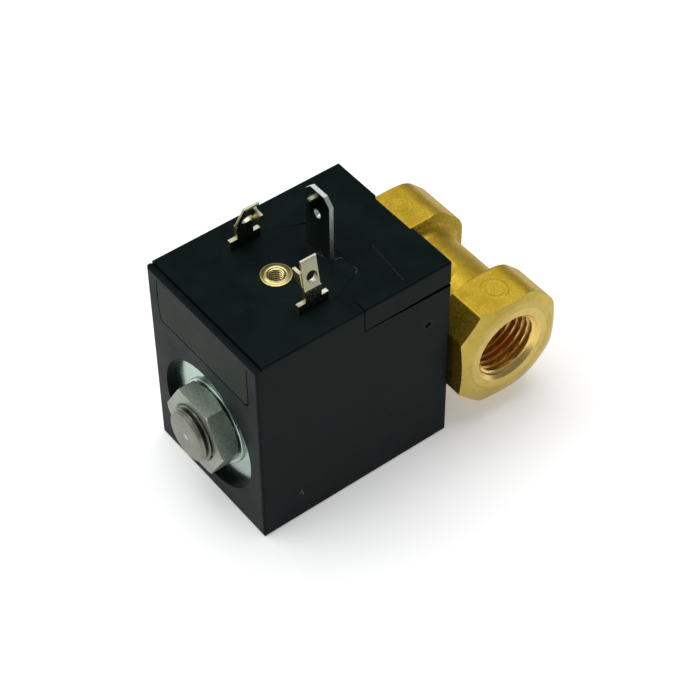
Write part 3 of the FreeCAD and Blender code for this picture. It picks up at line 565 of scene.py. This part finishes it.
def turned_steel():
    """Turned stainless steel: fine rings on the stud's end, a brighter spot where its centre was cut, and
    painted shade in the thread roots.
    """
    g = Graph("stainless")
    x, y, z = g.axes()
    r = g.radius(x, z, 0.0, AXIS_Z / MM)
    cloud = g.noise(420.0, 4.0, 0.6, seed=0.5)
    fine = g.noise(2600.0, 3.0, 0.6, seed=0.5)
    rings = g.math("SINE", g.plus(g.times(r, 46.0), g.times(cloud, 3.0)))
    color = g.mix(g.ramp(cloud, 0.3, 0.7), (0.195, 0.196, 0.157), (0.245, 0.245, 0.202))
    color = g.mix(g.ramp(r, 0.62, 0.45), color, (0.46, 0.47, 0.40))
    # Painted shade: behind the stud's nose, this steel nearer the axis than the thread's crests is
    # darkened, for the roots of the thread.
    root = g.times(g.ramp(r, 4.82, 4.60), g.ramp(y, STUD_FRONT / MM + 0.5, STUD_FRONT / MM + 0.7))
    color = g.mix(root, color, (0.05, 0.05, 0.04))
    roughness = g.ramp(fine, 0.3, 0.7, 0.36, 0.48)
    height = g.plus(g.times(rings, 0.12), g.times(fine, 0.5))
    return g.finish(color, roughness, g.bump(height, 0.000014), metallic=1.0)


def wound_copper():
    """Enamelled wire: fine turns side by side along the tube."""
    g = Graph("copper")
    y = g.axes()[1]
    turns = g.math("SINE", g.times(y, 2.0 * math.pi / 0.32))
    cloud = g.noise(300.0, 3.0, 0.6, seed=1.1)
    color = g.mix(g.ramp(cloud, 0.3, 0.7), (0.52, 0.20, 0.08), (0.72, 0.34, 0.15))
    return g.finish(color, g.ramp(turns, -1.0, 1.0, 0.42, 0.28), g.bump(turns, 0.00004), metallic=1.0)


def rubber():
    """Moulded black rubber with a faint bloom."""
    g = Graph("rubber")
    fine = g.noise(3000.0, 3.0, 0.6, seed=1.2)
    bloom = g.noise(300.0, 3.0, 0.6, seed=1.4)
    color = g.mix(g.ramp(bloom, 0.4, 0.8), (0.016, 0.016, 0.016), (0.035, 0.034, 0.033))
    return g.finish(color, g.ramp(fine, 0.3, 0.7, 0.6, 0.75), g.bump(fine, 0.00001), Specular_IOR_Level=0.3)


def make_materials():
    """One material for each of the record's slots."""
    shell = black_plastic("coil_plastic", (0.0040, 0.0085, 0.0078), 0.1, 0.27, 0.42,
                          shell_lines(), shell_seams(), panel_seam())
    return {
        "coil_plastic": shell,
        "cap_plastic": shell,
        "carrier_plastic": black_plastic("carrier_plastic", (0.0045, 0.0092, 0.0085), 0.7, 0.30, 0.42,
                                         carrier_lines()),
        "panel_plastic": black_plastic("panel_plastic", (0.0110, 0.0190, 0.0138), 0.2, 0.36, 0.46,
                                       front_line=panel_seam()),
        "bobbin_plastic": black_plastic("bobbin_plastic", (0.02, 0.02, 0.02), 0.4, 0.40, 0.50),
        "forged_brass": forged_brass(),
        "insert_brass": insert_brass(),
        "power_blade": stamped("power_blade", 0, (0.33, 0.325, 0.230), (0.84, 0.81, 0.60),
                               (0.46, 0.41, 0.19), 0.20, 0.34, 0.8),
        "earth_blade": stamped("earth_blade", 1, (0.40, 0.46, 0.44), (0.80, 0.86, 0.84), (0.66, 0.72, 0.70),
                               0.05, 0.42, 0.9),
        "stainless": turned_steel(),
        "nut_steel": nut_steel(),
        "washer_steel": plated("washer_steel", (0.42, 0.50, 0.46), (0.56, 0.64, 0.60), 0.24, 0.34, 0.65),
        "zinc_plate": plated("zinc_plate", (0.35, 0.475, 0.405), (0.40, 0.525, 0.450), 0.15, 0.20, 0.7,
                             grain=900.0, depth=0.0000004, stained=0.10),
        "copper": wound_copper(),
        "rubber": rubber(),
    }


# ---- pieces -------------------------------------------------------------------------------
COLUMNS = 128
THREAD_STEPS = 14
WIRE_SIDES = 12
SPRING_STEPS = 40
RING_COLUMNS = 72
RING_R = 2.0 * MM
RING_HALF_WIDTH = 0.42 * MM
RING_FROM_END = 4.7 * MM
GATE_COLUMNS = 28
SHARP_ANGLE = 35
BEVEL_ANGLE = 30


def add_piece(name, vertices, faces, material, body):
    """Turns points and faces into a piece that rides on a body."""
    mesh = bpy.data.meshes.new(name)
    mesh.from_pydata(vertices, [], faces)
    mesh.validate()
    mesh.shade_smooth()
    mesh.materials.append(material)
    piece = bpy.data.objects.new(name, mesh)
    bpy.context.scene.collection.objects.link(piece)
    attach(piece, body)
    return piece


def sweep(rows, closed=False):
    """Vertices and faces of a skin over rings of points; a single point closes an end."""
    vertices = []
    starts = []
    for row in rows:
        starts.append(len(vertices))
        vertices.extend(row)
    faces = []
    pairs = list(zip(range(len(rows) - 1), range(1, len(rows))))
    if closed:
        pairs.append((len(rows) - 1, 0))
    for near, far in pairs:
        count = max(len(rows[near]), len(rows[far]))
        for index in range(count):
            after = (index + 1) % count
            if len(rows[near]) == 1:
                faces.append((starts[near], starts[far] + index, starts[far] + after))
            elif len(rows[far]) == 1:
                faces.append((starts[near] + index, starts[far], starts[near] + after))
            else:
                faces.append((starts[near] + index, starts[far] + index,
                              starts[far] + after, starts[near] + after))
    return vertices, faces


def thread_wave(turns):
    """Height of a thread's flank at a share of a turn: 1 on its crest, 0 in its root."""
    wave = 1.0 - abs(2.0 * (turns % 1.0) - 1.0)
    return min(max(wave * 1.3 - 0.15, 0.0), 1.0)


def lathe_rows(profile, place, pitch=1.0, depth=0.0):
    """Rings of a turned skin from (radius, reach, cut) points; cut is the share of the thread's depth."""
    rows = []
    for radius, reach, cut in profile:
        if radius == 0:
            rows.append([place(0.0, 0.0, reach)])
            continue
        ring = []
        for column in range(COLUMNS):
            angle = 2 * math.pi * column / COLUMNS
            wave = thread_wave(reach / pitch - column / COLUMNS)
            ring.append(place(radius - cut * depth * wave, angle, reach))
        rows.append(ring)
    return rows


def thread_zone(radius, start, end, pitch):
    """Profile points of a thread between two reaches; it runs out over the last turn."""
    count = int(round(abs(end - start) / pitch * THREAD_STEPS))
    points = []
    for index in range(count + 1):
        reach = start + (end - start) * index / count
        fade = min(1.0, (count - index) / THREAD_STEPS)
        points.append((radius, reach, fade))
    return points


def on_tube(radius, angle, reach):
    """A point round the tube axis."""
    return (radius * math.cos(angle), reach, AXIS_Z + radius * math.sin(angle))


def add_stud(material):
    """Pole piece with its M10 stud: chamfered end, thread, centre mark and shading groove."""
    front = STUD_FRONT
    stud_r = (core_high.x - core_low.x) / 2
    bore_r = stud_r - 0.5 * MM
    nose = 0.55 * MM
    groove = 1.5 * MM
    thread_end = front + 7.2 * MM
    profile = [(0, front + 0.32 * MM, 0), (0.30 * MM, front + 0.10 * MM, 0),
               (0.46 * MM, front + 0.01 * MM, 0), (0.60 * MM, front, 0), (2.4 * MM, front, 0),
               (stud_r - nose - 0.06 * MM, front, 0),
               (stud_r - nose, front + 0.03 * MM, 0), (stud_r - 0.06 * MM, front + nose - 0.06 * MM, 0.25)]
    profile += thread_zone(stud_r, front + nose, thread_end, STUD_PITCH)
    profile += [(stud_r, thread_end + 0.2 * MM, 0), (stud_r, thread_end + 0.29 * MM, 0),
                (bore_r, thread_end + 0.3 * MM, 0), (bore_r, POLE_Y - 0.05 * MM, 0),
                (bore_r - 0.05 * MM, POLE_Y, 0), (3.72 * MM, POLE_Y, 0), (3.70 * MM, POLE_Y - 0.02 * MM, 0),
                (3.70 * MM, POLE_Y - groove, 0), (3.00 * MM, POLE_Y - groove, 0),
                (3.00 * MM, POLE_Y - 0.02 * MM, 0), (2.98 * MM, POLE_Y, 0), (0, POLE_Y, 0)]
    vertices, faces = sweep(lathe_rows(profile, on_tube, STUD_PITCH, STUD_DEPTH))
    stud = add_piece("core_turned", vertices, faces, material, "valve")
    sharpen(stud)
    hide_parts("fixed_core")


def add_port_threads(material):
    """Cut thread inside each port, with its countersunk mouth."""
    wall_r = 6.57 * MM
    crest_r = wall_r - PORT_DEPTH
    mouth = PORT_REACH - 0.28 * MM
    entry = mouth - PORT_DEPTH
    thread_end = PORT_REACH - 8.6 * MM
    inner = PORT_REACH - 9.55 * MM
    for side, name in ((-1, "port_thread_left"), (1, "port_thread_right")):
        def in_port(radius, angle, reach):
            across = side * radius * math.cos(angle)
            return (side * reach, PORT_Y + across, AXIS_Z + radius * math.sin(angle))

        profile = [(wall_r, inner, 0), (wall_r, mouth, 0),
                   (wall_r - 0.4 * PORT_DEPTH, mouth - 0.4 * PORT_DEPTH, 0)]
        for index in range(9):
            share = index / 8
            sunk = (0.4 + 0.6 * share) * PORT_DEPTH
            profile.append((wall_r - sunk * (1 - share), mouth - sunk, share))
        profile += thread_zone(wall_r, entry - 0.02 * MM, thread_end, PORT_PITCH)
        profile += [(crest_r + 0.5 * PORT_DEPTH, inner + 0.1 * MM, 0), (wall_r - 0.3 * MM, inner, 0)]
        vertices, faces = sweep(lathe_rows(profile, in_port, PORT_PITCH, PORT_DEPTH), closed=True)
        piece = add_piece(name, vertices, faces, material, "valve")
        sharpen(piece)


def add_insert(material):
    """Flanged insert with its M3 thread; its rim is a little uneven, as it was pressed in."""
    top = insert_high.z
    low = insert_low.z
    flange_r = (insert_high.x - insert_low.x) / 2
    bore_r = 1.5 * MM
    ring_r = 1.95 * MM

    def upright(radius, angle, reach):
        uneven = 1.0 - 0.012 * (1 + math.sin(3 * angle + 0.6)) * (1 if radius > 2.3 * MM else 0)
        return (radius * uneven * math.cos(angle), INSERT_Y + radius * uneven * math.sin(angle), reach)

    step = top - 0.10 * MM
    shank_r = 2.2 * MM
    under_flange = top - 0.95 * MM
    profile = [(bore_r, low, 0), (shank_r, low, 0), (shank_r, under_flange, 0), (flange_r, under_flange, 0),
               (flange_r, step - 0.10 * MM, 0), (flange_r - 0.05 * MM, step - 0.02 * MM, 0),
               (flange_r - 0.14 * MM, step, 0), (ring_r + 0.06 * MM, step - 0.01 * MM, 0),
               (ring_r, step + 0.02 * MM, 0), (ring_r - 0.05 * MM, top - 0.01 * MM, 0),
               (ring_r - 0.12 * MM, top, 0), (bore_r + 0.12 * MM, top, 0),
               (bore_r + 0.02 * MM, top - 0.04 * MM, 0), (bore_r, top - 0.12 * MM, 0.2)]
    profile += thread_zone(bore_r, top - 0.18 * MM, low + 0.3 * MM, SCREW_PITCH)
    vertices, faces = sweep(lathe_rows(profile, upright, SCREW_PITCH, SCREW_DEPTH), closed=True)
    insert = add_piece("insert_turned", vertices, faces, material, "coil")
    sharpen(insert)
    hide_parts("threaded_insert")


def add_witness_rings(material):
    """Faint raised rings that the forging die's ejectors left on top of the bosses."""
    middle_x = PORT_REACH - RING_FROM_END
    for side, name, rise in ((-1, "witness_ring_left", 0.008), (1, "witness_ring_right", 0.038)):
        rows = []
        for column in range(RING_COLUMNS):
            angle = 2 * math.pi * column / RING_COLUMNS
            wobble = RING_R * (1 + 0.03 * math.sin(2 * angle + side))
            worn = rise * MM * (0.7 + 0.3 * math.sin(angle + 0.8))
            ring = []
            for index in range(WIRE_SIDES):
                turn = 2 * math.pi * index / WIRE_SIDES
                radius = wobble + RING_HALF_WIDTH * math.cos(turn)
                height = body_high.z + worn * math.sin(turn)
                ring.append((side * middle_x + radius * math.cos(angle),
                             PORT_Y + radius * math.sin(angle), height))
            rows.append(ring)
        vertices, faces = sweep(rows, closed=True)
        add_piece(name, vertices, faces, material, "valve")


def add_spring(material):
    """Return spring, coiled between the pole face and the plunger."""
    wire_r = 0.25 * MM
    mean_r = (spring_high.x - spring_low.x) / 2 - wire_r
    turns = 7
    steps = turns * SPRING_STEPS
    start = spring_low.y + wire_r
    travel = spring_high.y - spring_low.y - 2 * wire_r
    rise = travel / (2 * math.pi * turns)
    rows = []
    for step in range(steps + 1):
        angle = 2 * math.pi * turns * step / steps
        out = Vector((math.cos(angle), 0, math.sin(angle)))
        along = Vector((-mean_r * math.sin(angle), rise, mean_r * math.cos(angle))).normalized()
        side = along.cross(out)
        middle = Vector((0, start + travel * step / steps, AXIS_Z)) + out * mean_r
        ring = []
        for index in range(WIRE_SIDES):
            turn = 2 * math.pi * index / WIRE_SIDES
            ring.append(tuple(middle + wire_r * (math.cos(turn) * out + math.sin(turn) * side)))
        if step == 0:
            rows.append([tuple(middle)])
        rows.append(ring)
        if step == steps:
            rows.append([tuple(middle)])
    vertices, faces = sweep(rows)
    spring = add_piece("spring_coiled", vertices, faces, material, "valve")
    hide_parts("plunger_spring")
    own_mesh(spring)


def add_gate_mark(material):
    """Torn stub of the moulding gate, standing in its pit on the coil's side."""
    middle_y = GATE_AT[0] - 0.15 * MM
    middle_z = GATE_AT[1] - 0.04 * MM
    rows = [[(SIDE_X - 0.05 * MM, middle_y + 0.04 * MM, middle_z + 0.03 * MM)]]
    for share, sunk in ((0.3, 0.04), (0.55, 0.09), (0.8, 0.17), (1.0, 0.25)):
        ring = []
        for index in range(GATE_COLUMNS):
            angle = 2 * math.pi * index / GATE_COLUMNS
            ragged = 1 + 0.25 * math.sin(3 * angle + 1.0) + 0.14 * math.sin(7 * angle)
            ring.append((SIDE_X - sunk * MM * (1 + 0.25 * math.sin(5 * angle)),
                         middle_y + 0.22 * MM * share * ragged * math.cos(angle),
                         middle_z + 0.13 * MM * share * ragged * math.sin(angle)))
        rows.append(ring)
    rows.append([(SIDE_X - 0.30 * MM, middle_y, middle_z)])
    vertices, faces = sweep(rows)
    add_piece("gate_mark", vertices, faces, material, "coil")


def sharpen(piece):
    """Keeps crisp corners crisp on a smooth-shaded piece."""
    piece.data.set_sharp_from_angle(angle=math.radians(SHARP_ANGLE))


def soften_edges():
    """Small rounding along the stamped, cut and moulded edges of carried-over pieces."""
    widths = {"earth_terminal": 0.07, "power_terminal_left": 0.07, "power_terminal_right": 0.07,
              "coil_nut": 0.09, "lock_washer": 0.04, "terminal_carrier": 0.05, "rear_top_cap": 0.07,
              "front_panel": 0.05, "coil_housing": 0.07}
    for node, width in widths.items():
        bevel = nodes[node].modifiers.new("edge_rounding", "BEVEL")
        bevel.limit_method = "ANGLE"
        bevel.angle_limit = math.radians(BEVEL_ANGLE)
        bevel.width = width * MM
        bevel.segments = 2
        bevel.harden_normals = True


add_camera()
add_studio()
add_floor()
materials = make_materials()
for entry in frame["record"]["subparts"]:
    paint(entry["node"], materials[entry["material_slot"]])
add_stud(materials["stainless"])
add_port_threads(materials["forged_brass"])
add_insert(materials["insert_brass"])
add_witness_rings(materials["forged_brass"])
add_spring(materials["stainless"])
add_gate_mark(materials["coil_plastic"])
soften_edges()
